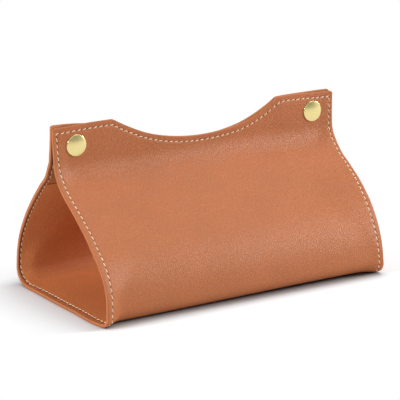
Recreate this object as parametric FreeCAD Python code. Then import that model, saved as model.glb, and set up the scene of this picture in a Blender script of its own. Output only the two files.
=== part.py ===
"""Tissue box cover: one double-layered leather sheet folded round a soft pack of tissues.

The sheet runs up from a flat base as a front panel and a back panel. Each panel bulges, leans in
and ends in an upright lip, and two press studs hold the lips together. Both ends stay open, and a
shallow notch between the studs is where the tissues come out. The sheet is two layers of leather,
face to face in the margins, with stiffening boards in shallow pockets between them.

The sheet bends along three lines on each side: the fold beside the base, the middle of the bulge
and the crease under the lip. It is cut there into rigid segments, so that it can open out flat.

Frame: +X along the cover, +Y from front to back, +Z up. The origin is the middle of the base's
underside. Lengths are in millimetres.
"""
import FreeCAD
import Part
import math
import os

from FreeCAD import Vector

# Overall size
cover_length = 250.0
cover_depth = 131.0
cover_height = 132.5
lip_height = 25.0  # the straight, upright part of each lip
lip_setback = 9.0  # the closed lips stand this far behind the middle of the base

# The sheet: outer leather, board and lining, as thick as they are where a board lies between
leather_thickness = 0.9
board_thickness = 0.6
lining_thickness = 0.9
bend_slit = 0.1  # between two segments of the sheet, along the line where it bends
board_margin = 7.0  # from the sheet's edges to the boards
board_clear_of_bend = 1.5  # from a board to the line where the sheet bends

# Bends, as radii of the outer face. A bulge's radius goes with the height that its panel climbs
fold_radius = 14.0
front_bulge_per_height = 0.556
front_crease_radius = 23.0
back_bulge_per_height = 0.845
back_crease_radius = 10.0

# The lips' outline
notch_width = 148.4
notch_sag = 20.0
notch_peak_radius = 3.0
lip_corner_radius = 2.0

# Press studs
stud_from_end = 19.0
stud_below_top = 14.4
cap_radius = 8.3
cap_rise = 1.9
cap_rim = 0.55
rivet_radius = 1.5
rivet_clearance = 0.05
rivet_head_radius = 2.4
rivet_head = 0.25
socket_radius = 5.5
socket_height = 3.0
socket_floor = 0.5
socket_bore_radius = 3.3
socket_edge_round = 0.3
spring_groove_radius = 4.6
spring_groove_height = 0.6
spring_below_mouth = 0.9
spring_wire_radius = 0.25
spring_end_clearance = 0.1
neck_radius = 2.4
neck_clearance = 0.1
bulb_radius = 2.9
bulb_length = 0.9
bulb_chamfer = 0.4
stud_flange_radius = 5.0
stud_flange = 0.8
stud_bore_radius = 2.1
stud_tip_wall = 0.3
post_head_radius = 4.9
post_rise = 0.8
post_rim = 0.3
snap_play = 0.1  # between the closed socket and the stud's flange
recess_clearance = 0.2  # round the socket and the stud in the lining

cut_overrun = 1.0  # how far a cutting shape runs past what it cuts
tolerance = 1e-6

sheet_thickness = leather_thickness + board_thickness + lining_thickness
parting_depth = leather_thickness + board_thickness / 2  # where the two layers of leather meet
seat_depth = leather_thickness + board_thickness  # where the socket and the stud sit on the board
lip_gap = socket_height + snap_play + stud_flange - 2 * lining_thickness
half_length = cover_length / 2
half_depth = cover_depth / 2
panel_height = cover_height - lip_height - fold_radius
snap_x = half_length - stud_from_end
snap_z = cover_height - stud_below_top
lip_board_start = notch_width / 2 + board_margin  # each lip has a board on either side of the notch


class Step:
    """A straight or an arc of the outline. A positive turn bends it inwards, a negative one outwards."""

    def __init__(self, name, length, turn=0.0):
        self.name = name
        self.length = length
        self.turn = turn

    def leave(self, station, share=1.0, depth=0.0):
        """The station part of the way along this step, on the line that lies depth below the outer face.

        A station is (a, z, heading), where a is the distance from the middle of the base towards
        this side.
        """
        a, z, heading = station
        if not self.turn:
            a += share * self.length * math.cos(heading)
            z += share * self.length * math.sin(heading)
            return a - depth * math.sin(heading), z + depth * math.cos(heading), heading
        radius = self.length / self.turn
        centre_a = a - radius * math.sin(heading)
        centre_z = z + radius * math.cos(heading)
        heading += share * self.turn
        reach = radius - depth
        return centre_a + reach * math.sin(heading), centre_z - reach * math.cos(heading), heading


def free_ends(edges):
    """The two free ends of a run of edges."""
    return edges[0].valueAt(edges[0].FirstParameter), edges[-1].valueAt(edges[-1].LastParameter)


class Side:
    """One side of the sheet, from the middle of the base to the top of the lip."""

    def __init__(self, name, towards, bulge_radius, crease_radius):
        self.name = name
        self.towards = towards  # -1 at the front, +1 at the back
        self.lip_a = lip_gap / 2 + towards * lip_setback + sheet_thickness
        lean, slope = self.lean_and_slope(bulge_radius + crease_radius)
        half_fold, half_bulge, half_crease = (
            Step(step_name, radius * abs(turn) / 2, turn / 2)
            for step_name, radius, turn in (
                ("fold", fold_radius, math.pi / 2),
                ("bulge", bulge_radius, lean),
                ("crease", crease_radius, -lean),
            )
        )
        self.segments = {
            "base": [Step("base", half_depth - fold_radius), half_fold],
            "lower": [half_fold, half_bulge],
            "upper": [half_bulge, Step("slope", slope), half_crease],
            "lip": [half_crease, Step("lip", lip_height)],
        }
        self.starts = {}
        station = (0.0, 0.0, 0.0)
        for segment, steps in self.segments.items():
            self.starts[segment] = station
            for step in steps:
                station = step.leave(station)

    def lean_and_slope(self, radii):
        """How far a panel leans in above its bulge, and how long it is straight there.

        The bulge and the crease are tangent to the straight, so only the sum of their radii counts.
        """
        across = half_depth - self.lip_a - radii
        slope = math.sqrt(across**2 + panel_height**2 - radii**2)
        lean = math.atan2(across, panel_height) + math.atan2(radii, slope)
        return lean, slope

    def line(self, segment, depth, x, trim_start=0.0, trim_end=0.0, leave_out=""):
        """Edges of one segment's outline at a depth, less a length trimmed off each end."""
        edges = []
        steps = self.segments[segment]
        station = self.starts[segment]
        kept = [step for step in steps if step.name != leave_out]
        for step in steps:
            if step in kept:
                low = trim_start / step.length if step is kept[0] else 0.0
                high = 1 - trim_end / step.length if step is kept[-1] else 1.0
                shares = (low, (low + high) / 2, high)
                start, middle, end = (self.place(step.leave(station, share, depth), x) for share in shares)
                edges.append(Part.Arc(start, middle, end) if step.turn else Part.LineSegment(start, end))
            station = step.leave(station)
        return [edge.toShape() for edge in edges]

    def place(self, station, x):
        a, z, heading = station
        return Vector(x, self.towards * a, z)

    def layer(self, segment, top, bottom, inset=0.0, **trims):
        """A layer of one segment, between two depths, along the cover less an inset at each end."""
        x = -half_length + inset
        outer, inner = (self.line(segment, depth, x, **trims) for depth in (top, bottom))
        caps = [Part.LineSegment(*ends).toShape() for ends in zip(free_ends(outer), free_ends(inner))]
        face = Part.Face(Part.Wire(Part.__sortEdges__(outer + inner + caps)))
        return face.extrude(Vector(cover_length - 2 * inset, 0, 0))

    def on_lip(self, depth):
        """The y of the plane of the upright lip that lies depth below its outer face."""
        return self.towards * (self.lip_a - depth)


front = Side("front", -1, front_bulge_per_height * panel_height, front_crease_radius)
back = Side("back", 1, back_bulge_per_height * panel_height, back_crease_radius)


def lip_outline():
    """Prism of the lips' outline seen from the front, with the notch in its top."""
    reach = notch_width / 2
    left_low, right_low = Vector(-half_length, 0, 0), Vector(half_length, 0, 0)
    left_top, right_top = Vector(-half_length, 0, cover_height), Vector(half_length, 0, cover_height)
    left_peak, right_peak = Vector(-reach, 0, cover_height), Vector(reach, 0, cover_height)
    notch_bottom = Vector(0, 0, cover_height - notch_sag)
    edges = [
        Part.LineSegment(left_low, left_top),
        Part.LineSegment(left_top, left_peak),
        Part.Arc(left_peak, notch_bottom, right_peak),
        Part.LineSegment(right_peak, right_top),
        Part.LineSegment(right_top, right_low),
        Part.LineSegment(right_low, left_low),
    ]
    face = Part.Face(Part.Wire([edge.toShape() for edge in edges]))
    prism = face.extrude(Vector(0, 2 * cover_depth, 0))
    prism.translate(Vector(0, -cover_depth, 0))
    for x, corner_radius in ((half_length, lip_corner_radius), (reach, notch_peak_radius)):
        corners = [edge for edge in prism.Edges if is_corner(edge, x, cover_height)]
        prism = prism.makeFillet(corner_radius, corners)
    return prism


def is_corner(edge, x, z):
    """Whether an edge runs across the sheet at the height z, at x or -x."""
    ends = [vertex.Point for vertex in edge.Vertexes]
    return edge.Length > cover_depth and all(
        abs(abs(point.x) - x) < tolerance and abs(point.z - z) < tolerance for point in ends
    )


def turned(side, x, points):
    """A solid turned about a press stud's axis.

    Each point is (depth, radius), with depth measured inwards from this side's outer face. A second
    pair makes the line up to that point an arc, and is the arc's middle.
    """
    origin_y = side.on_lip(0.0)

    def place(depth, radius):
        return Vector(x + radius, origin_y - side.towards * depth, snap_z)

    edges = []
    last = points[-1]
    for point in points:
        start, end = place(*last[:2]), place(*point[:2])
        curve = Part.Arc(start, place(*point[2:]), end) if point[2:] else Part.LineSegment(start, end)
        edges.append(curve.toShape())
        last = point
    return Part.Face(Part.Wire(edges)).revolve(Vector(x, 0, snap_z), Vector(0, 1, 0), 360)


def dome_middle(rise, rim, radius):
    """Depth and radius half way out on a shallow dome, between its crown and its rim."""
    curve = (radius**2 + (rise - rim) ** 2) / (2 * (rise - rim))
    half_way = radius / 2
    return curve - rise - math.sqrt(curve**2 - half_way**2), half_way


def snap_cap(x):
    """Domed cap on the front, with the rivet that holds the socket behind the leather."""
    head_at = seat_depth + socket_floor
    half_rim = cap_rim / 2
    crown_radius = cap_radius - half_rim
    rim_round = half_rim * math.sqrt(0.5)
    return turned(
        front,
        x,
        [
            (-cap_rise, 0.0),
            (-cap_rim, crown_radius, *dome_middle(cap_rise, cap_rim, crown_radius)),
            (-half_rim, cap_radius, -half_rim - rim_round, crown_radius + rim_round),
            (0.0, cap_radius),
            (0.0, rivet_radius),
            (head_at, rivet_radius),
            (head_at, rivet_head_radius),
            (head_at + rivet_head, rivet_head_radius),
            (head_at + rivet_head, 0.0),
        ],
    )


def snap_socket(x):
    """Socket on the front lip's inner side, with a groove for its spring."""
    mouth = seat_depth + socket_height
    floor = seat_depth + socket_floor
    groove = mouth - spring_below_mouth
    half_groove = spring_groove_height / 2
    rivet_hole = rivet_radius + rivet_clearance
    return turned(
        front,
        x,
        [
            (seat_depth, rivet_hole),
            (seat_depth, socket_radius),
            (mouth - socket_edge_round, socket_radius),
            (mouth, socket_radius - socket_edge_round),
            (mouth, socket_bore_radius),
            (groove + half_groove, socket_bore_radius),
            (groove + half_groove, spring_groove_radius),
            (groove - half_groove, spring_groove_radius),
            (groove - half_groove, socket_bore_radius),
            (floor, socket_bore_radius),
            (floor, rivet_hole),
        ],
    )


def snap_spring(x):
    """The two wires in the socket that grip the stud's neck."""
    y = front.on_lip(seat_depth + socket_height - spring_below_mouth)
    from_axis = neck_radius + neck_clearance + spring_wire_radius
    outermost = from_axis + spring_wire_radius
    reach = math.sqrt((spring_groove_radius - spring_end_clearance) ** 2 - outermost**2)
    starts = [Vector(x - reach, y, snap_z + side * from_axis) for side in (-1, 1)]
    wires = [Part.makeCylinder(spring_wire_radius, 2 * reach, start, Vector(1, 0, 0)) for start in starts]
    return Part.makeCompound(wires)


def snap_stud(x):
    """Stud on the back lip's inner side: a flange, a neck and a bulb, hollow behind."""
    face = seat_depth + stud_flange
    web = seat_depth + stud_flange / 2
    spring_at = face + snap_play + spring_below_mouth
    shoulder = spring_at + spring_wire_radius + neck_clearance
    tip = shoulder + bulb_length
    rivet_hole = rivet_radius + rivet_clearance
    return turned(
        back,
        x,
        [
            (seat_depth, rivet_hole),
            (seat_depth, stud_flange_radius),
            (face, stud_flange_radius),
            (face, neck_radius),
            (shoulder, neck_radius),
            (shoulder + bulb_chamfer / 2, bulb_radius),
            (tip - bulb_chamfer, bulb_radius),
            (tip, bulb_radius - bulb_chamfer),
            (tip, 0.0),
            (tip - stud_tip_wall, 0.0),
            (tip - stud_tip_wall, stud_bore_radius),
            (web, stud_bore_radius),
            (web, rivet_hole),
        ],
    )


def snap_post(x):
    """Low domed rivet on the back that holds the stud."""
    web = seat_depth + stud_flange / 2
    rolled_radius = (rivet_radius + stud_bore_radius) / 2
    return turned(
        back,
        x,
        [
            (-post_rise, 0.0),
            (-post_rim, post_head_radius, *dome_middle(post_rise, post_rim, post_head_radius)),
            (0.0, post_head_radius),
            (0.0, rivet_radius),
            (web, rivet_radius),
            (web, rolled_radius),
            (web + rivet_head, rolled_radius),
            (web + rivet_head, 0.0),
        ],
    )


def drilled(shape, side, radius, first_depth=-cut_overrun, last_depth=sheet_thickness + cut_overrun):
    """The shape less a hole at each press stud, between two depths of a lip."""
    inwards = Vector(0, -side.towards, 0)
    for x in (-snap_x, snap_x):
        start = Vector(x, side.on_lip(first_depth), snap_z)
        shape = shape.cut(Part.makeCylinder(radius, last_depth - first_depth, start, inwards))
    return shape


def panel_segment(side, segment):
    """Leather, lining and board of one segment of a panel."""
    half_slit = bend_slit / 2
    slits = {"trim_start": half_slit, "trim_end": half_slit}
    clearances = {"trim_start": board_clear_of_bend, "trim_end": board_clear_of_bend}
    if segment == "lip":
        slits["trim_end"] = 0.0
        clearances["trim_end"] = board_margin
    leather = side.layer(segment, 0.0, parting_depth, **slits)
    lining = side.layer(segment, parting_depth, sheet_thickness, **slits)
    board = side.layer(segment, leather_thickness, seat_depth, board_margin, leave_out="fold", **clearances)
    if segment == "lip":
        corner = Vector(-lip_board_start, -cover_depth, 0)
        board = board.cut(Part.makeBox(2 * lip_board_start, 2 * cover_depth, cover_height, corner))
        leather, lining = (shape.common(lip_outline()) for shape in (leather, lining))
    leather, lining = leather.cut(board), lining.cut(board)
    if segment == "lip":
        seat_radius = socket_radius if side is front else stud_flange_radius
        leather, board = (drilled(shape, side, rivet_radius + rivet_clearance) for shape in (leather, board))
        lining = drilled(lining, side, seat_radius + recess_clearance, parting_depth)
    return {"leather": leather, "lining": lining, "board": board}


def base_segment():
    """Leather, lining and board of the base, which turns up at both folds."""

    def layer(top, bottom, inset=0.0, **trims):
        halves = [side.layer("base", top, bottom, inset, **trims) for side in (front, back)]
        return halves[0].fuse(halves[1]).removeSplitter()

    board = layer(leather_thickness, seat_depth, board_margin, trim_end=board_clear_of_bend, leave_out="fold")
    leather = layer(0.0, parting_depth, trim_end=bend_slit / 2).cut(board)
    lining = layer(parting_depth, sheet_thickness, trim_end=bend_slit / 2).cut(board)
    return {"leather": leather, "lining": lining, "board": board}


def export(name, shape):
    """Writes one node's solids to its STEP file."""
    for solid in shape.Solids:
        if not solid.isValid() or solid.Volume <= 0:
            raise ValueError(name + " has a bad solid")
    Part.makeCompound(shape.Solids).exportStep(os.path.join("parts", name + ".step"))


def main():
    os.makedirs("parts", exist_ok=True)
    for layer, shape in base_segment().items():
        export("base_" + layer, shape)
    for side in (front, back):
        for segment in ("lower", "upper", "lip"):
            for layer, shape in panel_segment(side, segment).items():
                export("_".join((side.name, segment, layer)), shape)
    makers = {
        "snap_cap": snap_cap,
        "snap_socket": snap_socket,
        "snap_spring": snap_spring,
        "snap_stud": snap_stud,
        "snap_post": snap_post,
    }
    for end, x in (("left", -snap_x), ("right", snap_x)):
        for name, maker in makers.items():
            export(name + "_" + end, maker(x))


main()
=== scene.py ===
"""Leather cover for a soft pack of tissues, dressed over its CAD frame. Metres, with +Z up."""

import math

import bpy
import numpy as np
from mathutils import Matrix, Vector


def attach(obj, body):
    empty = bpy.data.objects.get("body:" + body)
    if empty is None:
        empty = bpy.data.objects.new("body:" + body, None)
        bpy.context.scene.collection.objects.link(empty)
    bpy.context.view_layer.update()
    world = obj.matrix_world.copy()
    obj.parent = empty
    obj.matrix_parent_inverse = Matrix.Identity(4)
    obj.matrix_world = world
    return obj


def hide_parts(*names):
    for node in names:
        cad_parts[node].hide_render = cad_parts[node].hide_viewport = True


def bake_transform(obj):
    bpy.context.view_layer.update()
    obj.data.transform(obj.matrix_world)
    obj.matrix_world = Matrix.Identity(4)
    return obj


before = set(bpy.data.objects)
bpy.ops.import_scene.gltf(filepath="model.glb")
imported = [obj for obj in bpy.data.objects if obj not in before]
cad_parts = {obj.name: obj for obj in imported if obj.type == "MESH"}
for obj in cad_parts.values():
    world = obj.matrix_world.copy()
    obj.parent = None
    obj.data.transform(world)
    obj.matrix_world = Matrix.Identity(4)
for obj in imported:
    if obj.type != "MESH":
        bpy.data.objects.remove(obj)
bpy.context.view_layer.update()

MM = 0.001

# ---------------------------------------------------------------- the cover's sizes, in millimetres
HALF_LENGTH = 125.0
HALF_DEPTH = 65.5
HEIGHT = 132.5
LIP_HEIGHT = 25.0
LIP_SETBACK = 9.0
LIP_GAP = 2.1
THICKNESS = 2.4
PARTING = 1.2
BOARD = (0.9, 1.5)  # the depths of the boards' faces
BOARD_MARGIN = 7.0  # from the sheet's edge
BOARD_CLEAR = 1.5  # from each bend
BOARD_GRID = (6.0, 3.0)  # between the columns and the rows of a board's mesh
POCKET_RISE = (3.0, 5.5)  # the coats make room for the boards between these distances from the sheet's edge
POCKET_PAST_NOTCH = 4.0
FOLD_RADIUS = 14.0
NOTCH_WIDTH = 148.4
NOTCH_SAG = 20.0
NOTCH_RADIUS = ((NOTCH_WIDTH / 2) ** 2 + NOTCH_SAG**2) / (2 * NOTCH_SAG)
NOTCH_CENTRE = HEIGHT - NOTCH_SAG + NOTCH_RADIUS
SNAP_X = 106.0
SNAP_Z = 118.1
CORNER_RADIUS = 2.0
NOTCH_EASE = 0.8  # rounds the two corners where the notch meets the lip's top edge
TOP_INSET = 4.0  # from the lips' top edge to their stitches
STITCH_PITCH = 4.65
STITCH_SLANT = 13.0  # degrees
THREAD_SIZE = (0.72, 0.66, 0.60)  # length as a share of the pitch, width and height
HOLE_SIZE = (0.36, 0.86, 0.32)
THREAD_PROUD, HOLE_PROUD = 0.18, 0.02  # how far their middles stand above the bottom of the groove
GROOVE, GROOVE_WIDTH = 0.28, 0.7  # how far the stitches pull the leather in, and over what width
EDGE_ROUND = 0.5
PARTING_ROUND = 0.14
FACING_BELOW_LIP = 24.0  # the lips' inner facing starts this far below the lips
FACING_GROOVE, FACING_GROOVE_WIDTH = 0.55, 0.4

# The steps of an outline, from the middle of the base to the lip's top edge.
BASE, FOLD, RISER, BULGE, SLOPE, CREASE, LIP = range(7)
# A side's three pieces meet at these shares of the bulge and the slope.
LOW_SEAM, HIGH_SEAM = 0.25, 0.5


def smooth(x, low, high):
    t = np.clip((x - low) / (high - low), 0, 1)
    return t * t * (3 - 2 * t)


def drawn(x, table):
    """Smooth curve through the (x, value) pairs of a table."""
    at, value = np.array(table, float).T
    slope = np.gradient(value, at)
    slope[[0, -1]] = 0
    x = np.clip(x, at[0], at[-1])
    k = np.clip(np.searchsorted(at, x, side="right") - 1, 0, len(at) - 2)
    width = at[k + 1] - at[k]
    t = (x - at[k]) / width
    low = (1 - t) ** 2 * ((1 + 2 * t) * value[k] + t * width * slope[k])
    return low + t * t * ((3 - 2 * t) * value[k + 1] - (1 - t) * width * slope[k + 1])


class Side:
    """Outline of one side's outer face by arc length, which can change along the cover.

    towards     -1 for the front, 1 for the back
    bulge       radius of the bulge
    crease      radius of the crease under the lip
    end_folds   radii of the fold at the left and the right end
    swells      how far each end stands proud of the outline, by arc length past the fold
    shorter     how far each end falls short of its plane, by arc length
    insets      how far each end's stitches are from it, by arc length
    pinch       how far the lip comes towards the other one, by x
    lip_drift   how much higher the lip's top edge is than drawn, by x
    """

    def __init__(self, name, towards, bulge, crease, end_folds, swells, shorter, insets, pinch, lip_drift):
        self.name, self.towards = name, towards
        self.bulge, self.crease = bulge, crease
        self.lip_a = LIP_GAP / 2 + towards * LIP_SETBACK + THICKNESS
        self.end_folds, self.swells, self.shorter, self.insets = end_folds, swells, shorter, insets
        self.pinch, self.lip_drift = pinch, lip_drift

    def by_end(self, x, s, tables):
        """Value at arc length s in the left end's table or the right end's, whichever end is nearer."""
        return np.where(x < 0, drawn(s, tables[0]), drawn(s, tables[1]))

    def steps(self, x):
        """Length, as an array, and turn of each step of the outline at each x."""
        x = np.asarray(x, float)
        end = smooth(np.abs(x), HALF_LENGTH - END_FOLD_REACH, HALF_LENGTH - 1)
        fold = FOLD_RADIUS + (np.where(x < 0, *self.end_folds) - FOLD_RADIUS) * end
        radii = self.bulge + self.crease
        across = HALF_DEPTH - self.lip_a - radii
        up = HEIGHT - LIP_HEIGHT - FOLD_RADIUS
        slope = math.sqrt(across**2 + up**2 - radii**2)
        lean = math.atan2(across, up) + math.atan2(radii, slope)
        all_along = np.ones_like(x)
        return [
            (HALF_DEPTH - fold, 0.0),
            (fold * math.pi / 2, math.pi / 2),
            (FOLD_RADIUS - fold, 0.0),
            (self.bulge * lean * all_along, lean),
            (slope * all_along, 0.0),
            (self.crease * lean * all_along, -lean),
            ((LIP_HEIGHT + LIP_SPARE) * all_along, 0.0),
        ]

    def starts(self, x):
        """Arc length at the start of each step, and at the end."""
        total = np.zeros_like(np.asarray(x, float))
        out = [total]
        for length, _ in self.steps(x):
            total = total + length
            out.append(total)
        return out

    def station(self, x, s):
        """(a, z, heading) at arc length s, for arrays x and s of one shape."""
        a, z, h = np.zeros_like(x), np.zeros_like(x), np.zeros_like(x)
        left = s.copy()
        for length, turn in self.steps(x):
            go = np.clip(left, 0, length)
            if turn:
                radius = length / turn
                dh = go / radius
                a = a + radius * (np.sin(h + dh) - np.sin(h))
                z = z + radius * (np.cos(h) - np.cos(h + dh))
                h = h + dh
            else:
                a = a + go * np.cos(h)
                z = z + go * np.sin(h)
            left = left - length
        return a, z, h

    def lip_start(self, x):
        return self.starts(x)[LIP]

    def top_z(self, x, inset=0.0):
        """Height at x of the lip's top edge, with the notch and the rounded corners, or of the line inset from it."""
        ax = np.abs(np.asarray(x, float))
        radius = NOTCH_RADIUS + inset
        notch = NOTCH_CENTRE - np.sqrt(np.maximum(radius**2 - ax**2, 0))
        gap = np.clip(NOTCH_EASE - np.abs(HEIGHT - inset - notch), 0, None)
        z = np.minimum(HEIGHT - inset, notch) - gap**2 / (4 * NOTCH_EASE)
        over = np.clip(ax - (HALF_LENGTH - CORNER_RADIUS), 0, CORNER_RADIUS)
        corner = CORNER_RADIUS - np.sqrt(CORNER_RADIUS**2 - over**2)
        return z - corner * max(0.0, 1 - inset / TOP_INSETS[0]) + drawn(x, self.lip_drift)

    def top(self, x, inset=0.0):
        """Arc length of the sheet's top edge at x, or of the line inset from that edge."""
        return self.lip_start(x) + self.top_z(x, inset) - (HEIGHT - LIP_HEIGHT)

    def place(self, x, s, depth):
        """Points in metres, at a depth below the sheet's outer face."""
        x, s = np.broadcast_arrays(np.asarray(x, float), np.asarray(s, float))
        a, z, h = self.station(x, s)
        starts = self.starts(x)
        ax = np.abs(x)
        swell = self.by_end(x, s - starts[BULGE], self.swells)
        swell = swell * smooth(ax, HALF_LENGTH - drawn(s - starts[BULGE], SWELL_REACH), HALF_LENGTH)
        free = smooth(ax, HALF_LENGTH - PINCH_END, HALF_LENGTH) + 1 - smooth(ax, *PINCH_FADE)
        pinch = drawn(x, self.pinch) * free * smooth(s, starts[CREASE], starts[LIP])
        under = np.clip(np.minimum(a / TUCK_RISE, (HALF_DEPTH - a) / TUCK_FALL), 0, 1) * (s < starts[BULGE])
        tuck = drawn(x, FOLD_TUCK) * under
        y = self.towards * (a + (swell - depth) * np.sin(h) - pinch - (tuck if self.towards < 0 else 0))
        z = z + depth * np.cos(h) - swell * np.minimum(np.cos(h), 0)
        ends_in = self.by_end(x, s, self.shorter) * ax / HALF_LENGTH
        return np.stack([x - np.sign(x) * ends_in, y, z], -1) * MM


LIP_SPARE = 5.0  # the outline goes on this far above the lip's top edge, which drifts
END_FOLD_REACH = 16.0  # the folds change to their radius at an end over this reach
# The lips come together where the snaps don't hold them apart: in the middle, up to the fade, and close to the ends.
PINCH_FADE, PINCH_END = (62, 88), 11
SWELL_REACH = ((0, 14), (40, 42), (90, 42), (118, 14))  # how far from an end it swells, by arc length past the fold
# The foot of the front fold lies further back than the outline, by x. The base takes this up on its way to the fold.
FOLD_TUCK = ((-100, 0.0), (-50, 1.5), (0, 4.0), (50, 6.5), (80, 7.0), (108, 5.5), (125, 1.0))
TUCK_RISE, TUCK_FALL = 48.0, 17.5
front = Side(
    "front", -1, 52.0, 23.0, (6.5, 10.0),
    swells=(
        ((2, 3.2), (18, 2.7), (33, 1.1), (43, -0.3), (56, 0.5), (72, 0.5), (87, 1.1), (97, 0.8), (110, 1.7),
         (122, 1.6), (131, 0.8), (140, 0.0)),
        ((2, 0.6), (20, 0.8), (36, 1.9), (50, 3.8), (64, 4.4), (80, 2.5), (94, 0.8), (107, 2.0), (120, 1.1),
         (131, 0.6), (140, 0.6)),
    ),
    shorter=(
        ((0, -0.9), (25, -0.9), (48, -1.8), (66, 0.0), (80, 0.6), (108, 0.7), (120, 1.1), (150, 1.1), (170, 0.0)),
        ((60, 0.0), (80, 1.5), (140, 1.5), (165, 0.0)),
    ),
    insets=(
        ((0, 5.6), (55, 5.4), (75, 4.4), (105, 4.7), (140, 4.5), (165, 4.1), (185, 4.2), (200, 3.4), (215, 3.0)),
        ((0, 4.2), (75, 4.3), (115, 4.4), (135, 3.6), (155, 3.0), (175, 3.0), (190, 3.4), (215, 3.1)),
    ),
    pinch=((-125, 0.4), (60, 0.4), (125, 0.0)),
    lip_drift=((-125, -0.1), (-116, 0.1), (-106, 0.6), (-94, 1.1), (-82, 1.2), (-70, 1.1), (-62, 1.0),
               (-45, 0.2), (-22, 0.0), (0, -0.3), (20, -0.8), (42, -1.9), (50, -1.8), (60, -1.0), (74, 0.3),
               (84, 0.8), (97, 0.5), (112, -0.2), (125, -0.3)),
)
back = Side(
    "back", 1, 79.0, 10.0, (14.0, 10.0),
    swells=(
        ((0, 3.1), (10, 3.4), (22, 3.2), (37, 2.1), (52, 1.7), (67, 1.7), (82, 0.6), (95, -0.6), (108, 2.4),
         (122, 1.0), (140, 0.0)),
        ((0, 0.0), (140, 0.0)),
    ),
    shorter=(
        ((0, -0.9), (30, -0.2), (55, 0.0), (90, 1.2), (140, 1.2), (165, 0.0)),
        ((60, 0.0), (90, 1.2), (140, 1.2), (165, 0.0)),
    ),
    insets=(
        ((0, 5.6), (45, 5.0), (72, 2.7), (105, 2.7), (120, 3.1), (150, 3.4), (215, 3.2)),
        ((0, 4.2), (75, 3.6), (215, 3.2)),
    ),
    pinch=((-125, 1.4), (60, 1.4), (125, 0.6)),
    lip_drift=((-125, 1.8), (-116, 1.4), (-106, 0.9), (-95, -0.2), (-84, -1.5), (-74, -2.2), (0, -1.8),
               (25, -1.6), (42, -1.7), (56, -1.0), (67, -0.4), (83, 0.2), (97, 0.35), (112, 0.45), (125, 0.5)),
)


# ---------------------------------------------------------------- sheet layers
# Columns are closest where the notch meets the lip and at the ends' stitches, and rows at the top's stitches.
HALF_COLUMNS = [*range(0, 61, 5), 64, 67, 69.5, 71.5, 72.6, 73.3, 73.8, 74.2, 74.6, 75.1, 75.8, 77,
                79, 82, 86, 90, 94, 98, 102, 106, 109, 111.5, 113.5, 115, 116.3, 117.4, 118.2,
                *(118.8 + 0.35 * k for k in range(12)), 123.1, 123.6, 124.0, 124.4]
COLUMNS = np.array([-v for v in HALF_COLUMNS[:0:-1]] + HALF_COLUMNS, float)
TURN = np.radians([20, 45, 70])  # round a layer's edge, from one face
OUTER_FACE, OUTER_TURN, INNER_TURN, INNER_FACE = range(4)
LINING_AWAY = 10.0  # the lining's grain is drawn this far from the outer leather's, in metres
TOP_INSETS = [6.6, 5.8, 5.2, 4.8, 4.5, 4.25, 4.0, 3.75, 3.5, 3.2, 2.8, 2.2, 1.5, 0.8]
GROOVE_ROWS = (-1.0, -0.7, -0.45, -0.25, 0.0, 0.25, 0.45, 0.7, 1.0)


def loop(radius_out, radius_in):
    """Closed loop of (x, depth, part) round a layer's section along the cover; depths count from its two faces."""
    right = [(HALF_LENGTH - radius_out * (1 - math.sin(t)), radius_out * (1 - math.cos(t)), OUTER_TURN)
             for t in TURN]
    right += [(HALF_LENGTH, radius_out, OUTER_TURN), (HALF_LENGTH, -radius_in, INNER_TURN)]
    right += [(HALF_LENGTH - radius_in * (1 - math.sin(t)), -radius_in * (1 - math.cos(t)), INNER_TURN)
              for t in TURN[::-1]]
    points = [(x, 0.0, OUTER_FACE) for x in COLUMNS] + right
    points += [(x, 0.0, INNER_FACE) for x in COLUMNS[::-1]] + [(-x, d, k) for x, d, k in right[::-1]]
    return (np.array(column) for column in zip(*points))


def top_without_corners(side, x):
    return side.top(np.clip(x, CORNER_RADIUS - HALF_LENGTH, HALF_LENGTH - CORNER_RADIUS))


def edge_distances(side, x, s):
    """Distances from points of the sheet to its edge, and to the line of stitches, below 0 inside that line."""
    ax = np.abs(x)
    top = top_without_corners(side, x)
    notch_cos = np.sqrt(np.maximum(1 - (ax / NOTCH_RADIUS) ** 2, 0.3))
    from_top = (top - s) * np.where(ax < NOTCH_WIDTH / 2, notch_cos, 1.0)
    from_end = HALF_LENGTH - ax
    beyond = np.maximum(TOP_INSET - from_top, side.by_end(x, s, side.insets) - from_end)
    return np.minimum(from_top, from_end), beyond


def along_step(side, step, share, more=0.0):
    """Function of x that gives the arc length at a share of a step, or some millimetres past it."""
    def row(x):
        starts = side.starts(x)
        return starts[step] + share * (starts[step + 1] - starts[step]) + more
    return row


def rows(side):
    """Arc lengths of one side's rows as functions of x, from the base to near the top, and the two seams' rows."""
    def at(step, share):
        return along_step(side, step, share)

    def between(share, low, high):
        return lambda x: low(x) + share * (high(x) - low(x))

    def facing(x):
        return side.lip_start(x) - FACING_BELOW_LIP

    lower = [at(BASE, k / 8) for k in range(9)]
    lower += [between(k / 14, at(FOLD, 0.0), at(BULGE, 0.0)) for k in range(1, 15)]
    lower += [at(BULGE, k / 24) for k in range(1, 7)]
    middle = [at(BULGE, k / 24) for k in range(7, 25)] + [at(SLOPE, k / 20) for k in range(1, 11)]
    groove = [lambda x, o=o: facing(x) + o for o in GROOVE_ROWS]
    upper = [between(k / 10, middle[-1], groove[0]) for k in range(1, 10)] + groove
    upper += [between(k / 26, groove[-1], lambda x: side.top(x, TOP_INSETS[0])) for k in range(1, 26)]
    upper += [lambda x, i=i: side.top(x, i) for i in TOP_INSETS]
    return lower + middle + upper, (len(lower) - 1, len(lower) + len(middle) - 1)


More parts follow.
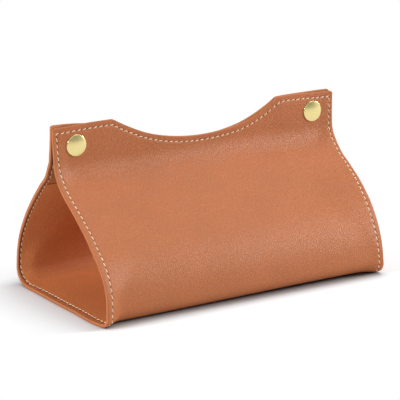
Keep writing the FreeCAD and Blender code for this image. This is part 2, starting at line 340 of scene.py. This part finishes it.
def pocket(side, x, s):
    """How far each coat gives way to the boards at a point of the sheet: all the way a little outside them."""
    ax = np.abs(x)
    starts = side.starts(x)
    from_edge = np.minimum(top_without_corners(side, x) - s, HALF_LENGTH - ax)
    in_fold = (s > starts[FOLD]) & (s < starts[BULGE])
    in_notch = (s > (starts[CREASE] + starts[LIP]) / 2) & (ax < NOTCH_WIDTH / 2 + POCKET_PAST_NOTCH)
    return (BOARD[1] - PARTING) * smooth(from_edge, *POCKET_RISE) * ~(in_fold | in_notch)


def layer(side, depth_out, depth_in, radius_out, radius_in):
    """Vertices, normals and marks of one layer of one side, and its seams' rows.

    The marks are sheet coordinates and the distances to the edge, past the stitches and past the facing's seam."""
    px, inward, part = loop(radius_out, radius_in)
    outside = part <= OUTER_TURN
    radius = np.where(outside, radius_out, radius_in)
    functions, seams = rows(side)
    turns = [(f(px), 0.0) for f in functions]
    turns += [(side.top(px) - radius * (1 - math.sin(t)), 1 - math.cos(t)) for t in (0.0, *TURN, math.pi / 2)]
    verts, marks = [], []
    for s, share in turns:
        depth = np.where(outside, depth_out + np.maximum(share * radius_out, inward),
                         depth_in - np.maximum(share * radius_in, -inward))
        edge, beyond = edge_distances(side, px, s)
        groove = GROOVE * np.exp(-((beyond / GROOVE_WIDTH) ** 2))
        over_facing = s - side.lip_start(px) + FACING_BELOW_LIP
        if depth_out == 0:
            depth = depth + np.where(part == OUTER_FACE, groove, 0)
            depth = depth - np.where(part == INNER_FACE, pocket(side, px, s), 0)
        else:
            seam = FACING_GROOVE * np.exp(-((over_facing / FACING_GROOVE_WIDTH) ** 2))
            depth = depth - np.where(part == INNER_FACE, np.maximum(groove, seam), 0)
            depth = depth + np.where(part == OUTER_FACE, pocket(side, px, s), 0)
        verts.append(side.place(px, s, depth))
        on_edge = (part == OUTER_TURN) | (part == INNER_TURN) | (share > 0)
        sheet_y = side.towards * s * MM + (LINING_AWAY if depth_out else 0.0)
        edge = np.where(on_edge, 0.0, edge)
        marks.append(np.stack([px * MM, sheet_y, edge * MM, beyond * MM, over_facing * MM], -1))
    verts, marks = np.array(verts), np.array(marks)
    across = np.roll(verts, -1, 1) - verts
    face = np.cross(across[:-1], verts[1:] - verts[:-1])
    face /= np.maximum(np.linalg.norm(face, axis=-1, keepdims=True), 1e-12)
    face = -side.towards * (face + np.roll(face, 1, 1))
    normal = np.zeros_like(verts)
    normal[:-1] += face
    normal[1:] += face
    normal /= np.maximum(np.linalg.norm(normal, axis=-1, keepdims=True), 1e-12)
    return verts, normal, marks, seams


def strips_across(ring):
    """Faces that close a layer across its thickness at one row, seen from below that row."""
    columns, corner = len(COLUMNS), 2 * len(TURN) + 2
    outer, inner = list(ring[:columns]), list(ring[columns + corner:2 * columns + corner])[::-1]
    faces = [(outer[k], outer[k + 1], inner[k + 1], inner[k]) for k in range(columns - 1)]
    right = [outer[-1], *ring[columns:columns + corner], inner[-1]]
    left = [inner[0], *ring[2 * columns + corner:], outer[0]]
    for chain in (right, left):
        faces += [(chain[k], chain[k + 1], chain[-k - 2], chain[-k - 1]) for k in range(len(chain) // 2 - 1)]
    return faces


def link(obj):
    bpy.context.scene.collection.objects.link(obj)
    return obj


def build(name, side, piece, grid, material):
    """Mesh of one piece of a layer: its rows, closed across the thickness at both ends."""
    verts, normal, marks, (low_seam, high_seam) = grid
    span = {"lower": (0, low_seam), "middle": (low_seam, high_seam), "upper": (high_seam, len(verts) - 1)}[piece]
    verts, normal, marks = (v[span[0]:span[1] + 1] for v in (verts, normal, marks))
    index = np.arange(verts.shape[0] * verts.shape[1]).reshape(verts.shape[:2])
    nxt = np.roll(index, -1, axis=1)
    faces = np.stack([index[:-1], nxt[:-1], nxt[1:], index[1:]], -1).reshape(-1, 4).tolist()
    skin = len(faces)
    faces += strips_across(index[-1].tolist())
    faces += [face[::-1] for face in strips_across(index[0].tolist())]
    if side.towards > 0:
        faces = [list(face)[::-1] for face in faces]
    mesh = bpy.data.meshes.new(name)
    mesh.from_pydata(verts.reshape(-1, 3).tolist(), [], faces)
    corner_vertex = np.zeros(len(mesh.loops), np.int32)
    mesh.loops.foreach_get("vertex_index", corner_vertex)
    flat_marks = marks.reshape(-1, 5)
    uv_layer = mesh.uv_layers.new(name="sheet")
    uv_layer.data.foreach_set("uv", flat_marks[corner_vertex, :2].astype(np.float32).ravel())
    for k, attribute_name in ((2, "edge_distance"), (3, "beyond_stitches"), (4, "over_facing")):
        attribute = mesh.attributes.new(attribute_name, "FLOAT", "POINT")
        attribute.data.foreach_set("value", flat_marks[:, k].astype(np.float32))
    mesh.materials.append(material)
    mesh.polygons.foreach_set("use_smooth", [True] * len(faces))
    mesh.update()
    corner_normals = normal.reshape(-1, 3)[corner_vertex]
    for polygon in mesh.polygons[skin:]:
        corner_normals[list(polygon.loop_indices)] = polygon.normal
    mesh.normals_split_custom_set(corner_normals.tolist())
    return link(bpy.data.objects.new(name, mesh))


def board_patches(side):
    """The boards of one side, cut where its pieces meet: (piece, the x at both ends, where it starts and ends)."""
    def at(step, share, more=0.0):
        return along_step(side, step, share, more)

    whole, lip = (BOARD_MARGIN - HALF_LENGTH, HALF_LENGTH - BOARD_MARGIN), NOTCH_WIDTH / 2 + BOARD_MARGIN
    yield "lower", whole, at(BASE, 0.0), at(BASE, 1.0, -BOARD_CLEAR)
    yield "lower", whole, at(BULGE, 0.0, BOARD_CLEAR), at(BULGE, LOW_SEAM)
    yield "middle", whole, at(BULGE, LOW_SEAM), at(BULGE, 0.5, -BOARD_CLEAR)
    yield "middle", whole, at(BULGE, 0.5, BOARD_CLEAR), at(SLOPE, HIGH_SEAM)
    yield "upper", whole, at(SLOPE, HIGH_SEAM), at(CREASE, 0.5, -BOARD_CLEAR)
    for ends in ((whole[0], -lip), (lip, whole[1])):
        yield "upper", ends, at(CREASE, 0.5, BOARD_CLEAR), at(LIP, 0.0, LIP_HEIGHT - BOARD_MARGIN)


def build_boards(name, side, piece):
    """Mesh of the boards in one piece of a side."""
    verts, faces = [], []
    for owner, (left, right), low, high in board_patches(side):
        if owner != piece:
            continue
        x = np.linspace(left, right, 2 + round((right - left) / BOARD_GRID[0]))
        share = np.linspace(0, 1, 2 + round(float(high(0.0) - low(0.0)) / BOARD_GRID[1]))[:, None]
        s = low(x) + share * (high(x) - low(x))
        shape = (2, *s.shape)
        index = len(verts) + np.arange(2 * s.size).reshape(shape)
        verts += np.concatenate([side.place(x, s, depth).reshape(-1, 3) for depth in BOARD]).tolist()
        for face, step in zip(index, (1, -1)):
            quads = np.stack([face[:-1, :-1], face[:-1, 1:], face[1:, 1:], face[1:, :-1]], -1).reshape(-1, 4)
            faces += quads[:, ::step * -side.towards].tolist()
        rim = [np.concatenate([f[0], f[1:, -1], f[-1, -2::-1], f[-2:0:-1, 0]]).tolist() for f in index]
        around = zip(rim[0], rim[0][1:] + rim[0][:1], rim[1][1:] + rim[1][:1], rim[1])
        faces += [face[::side.towards] for face in around]
    mesh = bpy.data.meshes.new(name)
    mesh.from_pydata(verts, [], faces)
    mesh.materials.append(GREY_BOARD)
    mesh.update()
    return link(bpy.data.objects.new(name, mesh))


# ---------------------------------------------------------------- stitches
def stitch_path(side):
    """Points (x, s) along one side's line of stitches: up one end, along the top and down the other end."""
    ends = []
    for sign in (-1, 1):
        top = side.top(sign * (HALF_LENGTH - 3.0), TOP_INSET)  # an end's stitches are about 3 mm in, there
        s = np.linspace(0, float(top), 400)
        x = sign * (HALF_LENGTH - side.by_end(sign, s, side.insets))
        ends.append(np.stack([x, s], -1))
    x = np.linspace(ends[0][-1, 0], ends[1][-1, 0], 600)
    along = np.stack([x, side.top(x, TOP_INSET)], -1)
    return np.concatenate([ends[0][:-1], along, ends[1][-2::-1]])


def bead(length, width, height, rings, sides):
    """Vertices and faces of one stitch, along x, with its ends dipping into the sheet (-z)."""
    verts, faces = [], []
    for i in range(rings):
        u = math.sin((-1 + 2 * i / (rings - 1)) * math.pi / 2)
        swell = math.sqrt(max(0.05, 1 - abs(u) ** 3.5))
        sink = -0.5 * height * abs(u) ** 3
        for j in range(sides):
            t = 2 * math.pi * j / sides
            verts.append((u * length / 2, width / 2 * swell * math.cos(t), height / 2 * swell * math.sin(t) + sink))
    for i in range(rings - 1):
        for j in range(sides):
            k = (j + 1) % sides
            faces.append((i * sides + j, i * sides + k, (i + 1) * sides + k, (i + 1) * sides + j))
    faces += [tuple(range(sides))[::-1], tuple(range((rings - 1) * sides, rings * sides))]
    return np.array(verts), faces


def stitches(side):
    """Placed stitches and needle holes of both faces, by piece. The holes are dark beads of painted shade."""
    path = stitch_path(side)
    run = np.concatenate([[0], np.cumsum(np.linalg.norm(np.diff(path, axis=0), axis=1))])
    count = round(run[-1] / STITCH_PITCH)
    pitch = run[-1] / count
    thread = bead(pitch * THREAD_SIZE[0], *THREAD_SIZE[1:], rings=9, sides=8)
    hole = bead(pitch * HOLE_SIZE[0], *HOLE_SIZE[1:], rings=5, sides=6)
    found = {piece: [] for piece in BODIES}

    def at(distance):
        return [float(np.interp(np.clip(distance, 0, run[-1]), run, path[:, i])) for i in (0, 1)]

    for inner in (0, 1):
        for k in range(2 * count - 1):
            middle = (k + 1) * pitch / 2
            shape, faces = hole if k % 2 else thread
            sunk = GROOVE - (HOLE_PROUD if k % 2 else THREAD_PROUD)
            depth = THICKNESS - sunk if inner else sunk
            x, s = at(middle)
            centre = side.place(x, s, depth)
            along = side.place(*at(middle + 0.4), depth) - side.place(*at(middle - 0.4), depth)
            along /= np.linalg.norm(along)
            out = (side.place(x, s, 0.0) - side.place(x, s, 1.0)) * (-1 if inner else 1)
            out /= np.linalg.norm(out)
            beside = np.cross(out, along)
            turn = 0.0 if k % 2 else math.radians(STITCH_SLANT)
            along, beside = (along * math.cos(turn) + beside * math.sin(turn),
                             beside * math.cos(turn) - along * math.sin(turn))
            placed = centre + (shape[:, :1] * along + shape[:, 1:2] * beside + shape[:, 2:] * out) * MM
            low, high = along_step(side, BULGE, LOW_SEAM)(x), along_step(side, SLOPE, HIGH_SEAM)(x)
            piece = "lower" if s < low else "middle" if s < high else "upper"
            found[piece].append((placed, faces, k % 2))
    return found


def build_stitches(name, placed_stitches):
    verts, faces, slots = [], [], []
    for placed, shape, slot in placed_stitches:
        faces += [tuple(len(verts) + v for v in face) for face in shape]
        verts += placed.tolist()
        slots += [slot] * len(shape)
    mesh = bpy.data.meshes.new(name)
    mesh.from_pydata(verts, [], faces)
    mesh.materials.append(THREAD)
    mesh.materials.append(HOLE_SHADE)
    mesh.polygons.foreach_set("material_index", slots)
    mesh.polygons.foreach_set("use_smooth", [True] * len(faces))
    mesh.update()
    return link(bpy.data.objects.new(name, mesh))


# ---------------------------------------------------------------- snaps
def lathe(name, x, side, profile, material, sides=72):
    """Turned piece about a snap's axis; profile is (radius, height over the lip's outer face), from its crown."""
    turn = np.linspace(0, 2 * math.pi, sides, endpoint=False)
    verts, faces = [], [tuple(range(sides)), tuple(range((len(profile) - 1) * sides, len(profile) * sides))[::-1]]
    for radius, height in profile:
        y = side.towards * (side.lip_a + height)
        verts += [(x + radius * math.cos(t), y, SNAP_Z + radius * math.sin(t)) for t in turn]
    for i in range(len(profile) - 1):
        for j in range(sides):
            k = (j + 1) % sides
            faces.append((i * sides + j, (i + 1) * sides + j, (i + 1) * sides + k, i * sides + k))
    if side.towards > 0:
        faces = [face[::-1] for face in faces]
    mesh = bpy.data.meshes.new(name)
    mesh.from_pydata((np.array(verts) * MM).tolist(), [], faces)
    mesh.materials.append(material)
    mesh.polygons.foreach_set("use_smooth", [True] * len(faces))
    mesh.set_sharp_from_angle(angle=math.radians(40))
    mesh.update()
    return link(bpy.data.objects.new(name, mesh))


def domed(radius, roll, rim, rise, rivet):
    """Profile of a shallow dome that rises above the rim's height, of its rolled edge, and of the rivet under it."""
    flat = radius - roll
    dome = [(max(0.05, flat * k / 14), rim + rise * (1 - (k / 14) ** 2)) for k in range(15)]
    rolled = [(flat + roll * math.sin(t), rim - roll * (1 - math.cos(t))) for t in np.radians([25, 40, 55, 70, 90])]
    return dome + rolled + [(radius, 0.0)] + list(rivet)


CAP_PROFILE = domed(radius=8.3, roll=0.7, rim=0.75, rise=1.0,
                    rivet=[(1.5, 0.0), (1.5, -2.0), (2.4, -2.0), (2.4, -2.25), (0.05, -2.25)])
POST_PROFILE = domed(radius=4.9, roll=0.28, rim=0.3, rise=0.5,
                     rivet=[(1.5, 0.0), (1.5, -1.9), (1.8, -1.9), (1.8, -2.15), (0.05, -2.15)])


# ---------------------------------------------------------------- materials
def node_material(name):
    material = bpy.data.materials.new(name)
    material.use_nodes = True
    nodes = material.node_tree.nodes
    nodes.clear()
    shader = nodes.new("ShaderNodeBsdfPrincipled")
    output = nodes.new("ShaderNodeOutputMaterial")
    material.node_tree.links.new(shader.outputs[0], output.inputs[0])
    return material, nodes, material.node_tree.links, shader


def shade(colour, factor):
    return tuple(min(1.0, c * factor) for c in colour)


def leather(name, colour, edge_colour, roughness, bump, facing=None, margin_colour=None):
    """Grained leather. With facing it is the lining, with that colour on the lips, and with dark lines of painted
    shade along the facing's seam and along the crease near its edge.
    """
    material, nodes, links, shader = node_material(name)
    sheet = nodes.new("ShaderNodeUVMap")
    sheet.uv_map = "sheet"

    def noise(scale, detail=3.0, rough=0.5):
        n = nodes.new("ShaderNodeTexNoise")
        n.inputs["Scale"].default_value = scale
        n.inputs["Detail"].default_value = detail
        n.inputs["Roughness"].default_value = rough
        links.new(sheet.outputs[0], n.inputs["Vector"])
        return n.outputs[0]

    def mix(factor, a, b):
        m = nodes.new("ShaderNodeMix")
        m.data_type = "RGBA"
        for value, socket in ((factor, m.inputs[0]), (a, m.inputs[6]), (b, m.inputs[7])):
            if isinstance(value, (float, tuple)):
                socket.default_value = value if isinstance(value, float) else (*value, 1.0)
            else:
                links.new(value, socket)
        return m.outputs[2]

    def ramp(value, *stops):
        r = nodes.new("ShaderNodeValToRGB")
        while len(r.color_ramp.elements) < len(stops):
            r.color_ramp.elements.new(0.5)
        for element, (at, level) in zip(r.color_ramp.elements, stops):
            element.position = at
            element.color = (level, level, level, 1.0)
        links.new(value, r.inputs[0])
        return r.outputs[0]

    def scaled(attribute_name, factor, offset=0.0):
        attribute = nodes.new("ShaderNodeAttribute")
        attribute.attribute_name = attribute_name
        result = nodes.new("ShaderNodeMath")
        result.operation = "MULTIPLY_ADD"
        result.inputs[1].default_value = factor
        result.inputs[2].default_value = offset
        links.new(attribute.outputs["Fac"], result.inputs[0])
        return result.outputs[0]

    inwards = scaled("edge_distance", 100.0)  # 10 mm from the edge is 1

    def from_edge(at_edge, further_in):
        """Value that changes over 0.2 to 0.9 mm from the sheet's edge, whose paint is dull, smooth and even."""
        change = nodes.new("ShaderNodeMapRange")
        change.inputs["From Min"].default_value, change.inputs["From Max"].default_value = 0.02, 0.09
        change.inputs["To Min"].default_value, change.inputs["To Max"].default_value = at_edge, further_in
        links.new(inwards, change.inputs["Value"])
        return change.outputs[0]

    cells = nodes.new("ShaderNodeTexVoronoi")
    cells.feature = "DISTANCE_TO_EDGE"
    cells.inputs["Scale"].default_value = 800.0
    cells.inputs["Randomness"].default_value = 1.0
    links.new(sheet.outputs[0], cells.inputs["Vector"])
    mottle = noise(520.0, 5.0, 0.65)
    fibre = noise(3000.0)

    surface = mix(ramp(noise(24.0), (0.35, 0.0), (0.65, 1.0)), shade(colour, 0.95), shade(colour, 1.05))
    if facing:
        over = scaled("over_facing", 250.0, 0.5)  # the seam is at 0.5 and 2 mm above it at 1
        surface = mix(ramp(over, (0.45, 0.0), (0.60, 1.0)), surface, facing)
        # A dark line along the facing's seam: painted shade in the seam's groove.
        seam = ramp(over, (0.16, 0.0), (0.24, 1.0), (0.60, 1.0), (0.68, 0.0))
        surface = mix(seam, surface, shade(colour, 0.10))
    surface = mix(ramp(mottle, (0.36, 0.60), (0.60, 0.0)), surface, shade(colour, 0.72))
    surface = mix(ramp(cells.outputs[0], (0.0, 0.55), (0.30, 0.0)), surface, shade(colour, 0.60))
    if facing:
        beyond = scaled("beyond_stitches", 200.0)  # 5 mm outside the stitches is 1
        surface = mix(ramp(beyond, (0.26, 0.0), (0.32, 1.0)), surface, margin_colour)
        # A dark line between the edge's margin and the stitches: painted shade in the crease there.
        surface = mix(ramp(beyond, (0.12, 0.0), (0.15, 1.0), (0.27, 1.0), (0.32, 0.0)), surface, shade(colour, 0.10))
    surface = mix(ramp(inwards, (0.0, 1.0), (0.02, 1.0), (0.045, 0.0)), surface, edge_colour)
    links.new(surface, shader.inputs["Base Color"])
    rough = nodes.new("ShaderNodeMapRange")
    rough.inputs["To Min"].default_value = roughness - 0.06
    rough.inputs["To Max"].default_value = roughness + 0.10
    links.new(mottle, rough.inputs["Value"])
    rougher = nodes.new("ShaderNodeMath")
    rougher.operation = "MAXIMUM"
    links.new(rough.outputs[0], rougher.inputs[0])
    links.new(from_edge(0.72, 0.0), rougher.inputs[1])
    links.new(rougher.outputs[0], shader.inputs["Roughness"])
    shader.inputs["Specular IOR Level"].default_value = 0.42
    height = nodes.new("ShaderNodeMath")
    height.operation = "MULTIPLY_ADD"
    height.inputs[1].default_value = 0.45
    links.new(fibre, height.inputs[0])
    links.new(ramp(cells.outputs[0], (0.0, 0.0), (0.3, 1.0)), height.inputs[2])
    grain = nodes.new("ShaderNodeBump")
    links.new(from_edge(0.0, bump), grain.inputs["Strength"])
    grain.inputs["Distance"].default_value = 0.0002
    links.new(height.outputs[0], grain.inputs["Height"])
    links.new(grain.outputs[0], shader.inputs["Normal"])
    return material


def plain(name, colour, roughness, metallic=0.0, bump=0.0, scale=900.0, fade=0.88):
    material, nodes, links, shader = node_material(name)
    coordinates = nodes.new("ShaderNodeTexCoord")
    noise = nodes.new("ShaderNodeTexNoise")
    noise.inputs["Scale"].default_value = scale
    noise.inputs["Detail"].default_value = 4.0
    links.new(coordinates.outputs["Object"], noise.inputs["Vector"])
    mix = nodes.new("ShaderNodeMix")
    mix.data_type = "RGBA"
    mix.inputs[6].default_value = (*shade(colour, fade), 1.0)
    mix.inputs[7].default_value = (*colour, 1.0)
    links.new(noise.outputs[0], mix.inputs[0])
    links.new(mix.outputs[2], shader.inputs["Base Color"])
    shader.inputs["Metallic"].default_value = metallic
    rough = nodes.new("ShaderNodeMapRange")
    rough.inputs["To Min"].default_value = max(0.02, roughness - 0.05)
    rough.inputs["To Max"].default_value = roughness + 0.05
    links.new(noise.outputs[0], rough.inputs["Value"])
    links.new(rough.outputs[0], shader.inputs["Roughness"])
    if bump:
        node = nodes.new("ShaderNodeBump")
        node.inputs["Strength"].default_value = bump
        node.inputs["Distance"].default_value = 0.0001
        links.new(noise.outputs[0], node.inputs["Height"])
        links.new(node.outputs[0], shader.inputs["Normal"])
    return material


OUTER = leather("outer_leather", (0.500, 0.146, 0.038), (0.42, 0.128, 0.040), 0.44, 0.6)
# The lining's colour is lighter than the outer leather's, partly its own tone and partly painted light that makes up
# for the dim inside of the cover.
LINING = leather("lining_leather", (0.80, 0.270, 0.088), (0.50, 0.170, 0.060), 0.58, 0.8,
                 facing=(0.46, 0.175, 0.066), margin_colour=(0.50, 0.170, 0.060))
THREAD = plain("thread", (0.93, 0.74, 0.52), 0.65, bump=0.6, scale=3000.0)
# The needle holes are dark beads: painted shade that stands for the holes sinking into the leather.
HOLE_SHADE = plain("needle_hole_shade", (0.11, 0.040, 0.018), 0.8)
BRASS = plain("brass", (0.93, 0.78, 0.35), 0.26, 1.0)
STEEL = plain("spring_steel", (0.56, 0.56, 0.56), 0.3, 1.0)
GREY_BOARD = plain("grey_board", (0.42, 0.36, 0.28), 0.85, bump=0.5, fade=0.7)

# ---------------------------------------------------------------- the sheet, its stitches and the snaps
# Each piece spans one joint, between two bodies, and hides the nodes of one or two bodies, which it stands for.
BODIES = {"lower": ("base", "lower"), "middle": ("lower", "upper"), "upper": ("upper", "lip")}
NODES = {"lower": ("lower", "base"), "middle": ("upper",), "upper": ("lip",)}
MIDDLE_BEND = 12.0  # the middle piece's stretch reaches this far along the sheet on either side of its joint, in millimetres


def body(side, part):
    return "base" if part == "base" else f"{side.name}_{part}"


def bend_ends(side, piece):
    """Two points of the outline, at either end of the stretch about a piece's joint."""
    starts = [float(v) for v in side.starts(0.0)]
    middle = (starts[BULGE] + starts[SLOPE]) / 2
    ends = {"lower": (starts[FOLD], starts[BULGE]), "middle": (middle - MIDDLE_BEND, middle + MIDDLE_BEND),
            "upper": (starts[CREASE], starts[LIP])}
    return [tuple(side.place(0.0, s, 0.0)) for s in ends[piece]]


for side in (front, back):
    coats = (("leather", 0.0, PARTING, EDGE_ROUND, PARTING_ROUND, OUTER),
             ("lining", PARTING, THICKNESS, PARTING_ROUND, EDGE_ROUND, LINING))
    for coat, low, high, round_out, round_in, material in coats:
        grid = layer(side, low, high, round_out, round_in)
        for piece, bodies in BODIES.items():
            obj = build(f"{side.name}_{coat}_{piece}", side, piece, grid, material)
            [body(side, part) for part in bodies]
            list(bend_ends(side, piece))
            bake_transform(obj)
            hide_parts(*(f"{body(side, part)}_{coat}" for part in NODES[piece]))
    placed = stitches(side)
    for piece, bodies in BODIES.items():
        obj = build_boards(f"{side.name}_board_{piece}", side, piece)
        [body(side, part) for part in bodies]
        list(bend_ends(side, piece))
        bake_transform(obj)
        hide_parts(*(f"{body(side, part)}_board" for part in NODES[piece]))
        obj = build_stitches(f"{side.name}_stitches_{piece}", placed[piece])
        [body(side, part) for part in bodies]
        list(bend_ends(side, piece))
        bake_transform(obj)

for hand, x in (("left", -SNAP_X), ("right", SNAP_X)):
    cap = lathe(f"cap_{hand}", x, front, CAP_PROFILE, BRASS)
    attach(cap, "front_lip")
    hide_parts(f"snap_cap_{hand}")
    post = lathe(f"post_{hand}", x, back, POST_PROFILE, BRASS)
    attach(post, "back_lip")
    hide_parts(f"snap_post_{hand}")

for name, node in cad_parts.items():
    material = GREY_BOARD if name.endswith("board") else STEEL if "spring" in name else BRASS
    node.data.materials.clear()
    node.data.materials.append(material)

# ---------------------------------------------------------------- floor, light and camera
FLOOR_HALF = 3  # metres
FLOOR_GREY = 0.86  # to the rays that light the cover
FLOOR_SHOWN = (0.90, 0.93, 0.96, 1)  # to the camera and in reflections
FLOOR_REACH = 0.05  # metres from the cover's footprint to where the floor shows the camera plain white
CONTACT_REACH, CONTACT_GAMMA = 0.02, 0.7  # the shadow where the cover is near the floor


def stage_floor():
    mesh = bpy.data.meshes.new("floor")
    far, near = FLOOR_HALF, -FLOOR_HALF
    mesh.from_pydata([(near, near, 0), (far, near, 0), (far, far, 0), (near, far, 0)], [], [(0, 1, 2, 3)])
    floor = link(bpy.data.objects.new("floor", mesh))
    material = bpy.data.materials.new("floor")
    material.use_nodes = True
    nodes, links = material.node_tree.nodes, material.node_tree.links
    nodes.clear()
    path = nodes.new("ShaderNodeLightPath")
    seen = nodes.new("ShaderNodeMath")
    seen.operation = "MAXIMUM"
    links.new(path.outputs["Is Glossy Ray"], seen.inputs[0])
    links.new(path.outputs["Is Transmission Ray"], seen.inputs[1])
    either = nodes.new("ShaderNodeMath")
    either.operation = "MAXIMUM"
    links.new(path.outputs["Is Camera Ray"], either.inputs[0])
    links.new(seen.outputs[0], either.inputs[1])
    plain_floor = nodes.new("ShaderNodeBsdfDiffuse")
    plain_floor.inputs[0].default_value = (FLOOR_GREY, FLOOR_GREY, FLOOR_GREY, 1)
    # The floor's shown colour darkens by ambient occlusion near the cover: a painted contact shadow.
    contact = nodes.new("ShaderNodeAmbientOcclusion")
    contact.inputs["Color"].default_value = FLOOR_SHOWN
    contact.inputs["Distance"].default_value = CONTACT_REACH
    gentler = nodes.new("ShaderNodeGamma")
    gentler.inputs["Gamma"].default_value = CONTACT_GAMMA
    links.new(contact.outputs["Color"], gentler.inputs["Color"])
    shown_floor = nodes.new("ShaderNodeBsdfDiffuse")
    links.new(gentler.outputs[0], shown_floor.inputs[0])
    white = nodes.new("ShaderNodeEmission")
    value = nodes.new("ShaderNodeTexCoord").outputs["Object"]
    for operation, operand in (("ABSOLUTE", None), ("SUBTRACT", (HALF_LENGTH * MM, HALF_DEPTH * MM, 0)),
                               ("MAXIMUM", (0, 0, 0)), ("LENGTH", None)):
        step = nodes.new("ShaderNodeVectorMath")
        step.operation = operation
        links.new(value, step.inputs[0])
        if operand:
            step.inputs[1].default_value = operand
        value = step.outputs["Value" if operation == "LENGTH" else "Vector"]
    away = nodes.new("ShaderNodeMapRange")
    away.inputs["From Max"].default_value = FLOOR_REACH
    links.new(value, away.inputs["Value"])
    lifted = nodes.new("ShaderNodeMixShader")
    links.new(away.outputs[0], lifted.inputs[0])
    links.new(shown_floor.outputs[0], lifted.inputs[1])
    links.new(white.outputs[0], lifted.inputs[2])
    pick = nodes.new("ShaderNodeMixShader")
    links.new(either.outputs[0], pick.inputs[0])
    links.new(plain_floor.outputs[0], pick.inputs[1])
    links.new(lifted.outputs[0], pick.inputs[2])
    output = nodes.new("ShaderNodeOutputMaterial")
    links.new(pick.outputs[0], output.inputs[0])
    mesh.materials.append(material)


stage_floor()


def studio(strength):
    """World of plain light, which is white to the camera."""
    world = bpy.data.worlds.new("studio")
    bpy.context.scene.world = world
    world.use_nodes = True
    nodes, links = world.node_tree.nodes, world.node_tree.links
    background = nodes["Background"]
    background.inputs[0].default_value = (1, 1, 1, 1)
    background.inputs[1].default_value = strength
    white = nodes.new("ShaderNodeBackground")
    path = nodes.new("ShaderNodeLightPath")
    pick = nodes.new("ShaderNodeMixShader")
    links.new(path.outputs["Is Camera Ray"], pick.inputs[0])
    links.new(background.outputs[0], pick.inputs[1])
    links.new(white.outputs[0], pick.inputs[2])
    links.new(pick.outputs[0], nodes["World Output"].inputs[0])


studio(0.32)

LAMPS_AIM = Vector((0, 0, 0.05))


def area(name, place, size, power):
    """Rectangular lamp that faces the middle of the cover."""
    light = bpy.data.lights.new(name, "AREA")
    light.shape = "RECTANGLE"
    light.size, light.size_y = size
    light.energy = power
    lamp = link(bpy.data.objects.new(name, light))
    lamp.location = place
    lamp.rotation_euler = (LAMPS_AIM - Vector(place)).to_track_quat("-Z", "Y").to_euler()


area("key", (2.1, -0.8, 0.75), (0.5, 0.5), 50)
area("left", (-2.2, 0.15, 1.1), (0.8, 0.8), 44)
area("front", (-0.2, -2.2, 1.3), (1.6, 1.2), 5)
area("overhead", (0.6, -0.1, 1.4), (1.0, 0.9), 9)

# Fitted to the cover in the photograph, which is 400 pixels wide.
IMAGE_WIDTH, SENSOR_WIDTH = 400.0, 36.0
FOCAL_PIXELS = 2148.6
AZIMUTH, ELEVATION, DISTANCE = math.radians(32.934), math.radians(14.934), 1.6324
TARGET = Vector((-0.002076, 0.0, 0.063078))
level = math.cos(ELEVATION)
outward = Vector((-math.sin(AZIMUTH) * level, -math.cos(AZIMUTH) * level, math.sin(ELEVATION)))
camera_data = bpy.data.cameras.new("camera")
camera_data.sensor_width = SENSOR_WIDTH
camera_data.lens = FOCAL_PIXELS * SENSOR_WIDTH / IMAGE_WIDTH
camera_data.clip_end = 20
camera = link(bpy.data.objects.new("camera", camera_data))
camera.location = TARGET + outward * DISTANCE
camera.rotation_euler = outward.to_track_quat("Z", "Y").to_euler()
bpy.context.scene.camera = camera

bpy.context.scene.view_settings.view_transform = "Standard"
